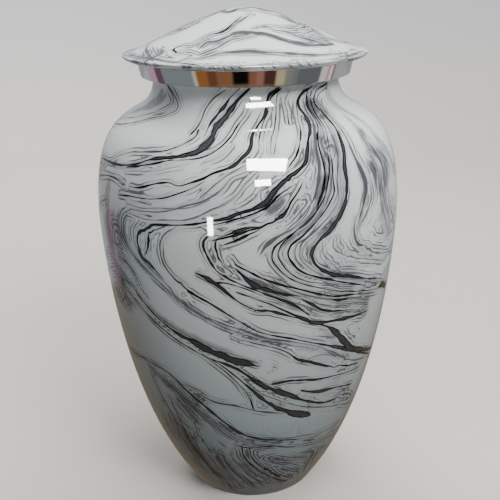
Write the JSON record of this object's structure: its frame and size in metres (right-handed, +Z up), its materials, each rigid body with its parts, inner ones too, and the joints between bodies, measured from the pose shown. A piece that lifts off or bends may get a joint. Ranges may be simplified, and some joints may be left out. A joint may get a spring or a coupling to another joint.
{
  "type": "cremation urn",
  "caption": "Hollow shouldered cremation urn in marbled gloss enamel, with a polished metal collar over its neck and a lift-off domed lid.",
  "frame": {"origin": "centre of the base, on the plane that the urn stands on", "axes": "+Z up along the urn's axis, towards the lid; -Y faces the picture's viewer, +X to the viewer's right"},
  "size_m": [0.1622, 0.1622, 0.27],
  "materials": {
    "marbled_enamel": "gloss, marbled in greys and black on pale grey",
    "polished_metal": "polished and plated"
  },
  "bodies": {
    "root": {"body": "marbled_enamel", "collar": "polished_metal", "lid": "marbled_enamel"}
  },
  "joints": []
}
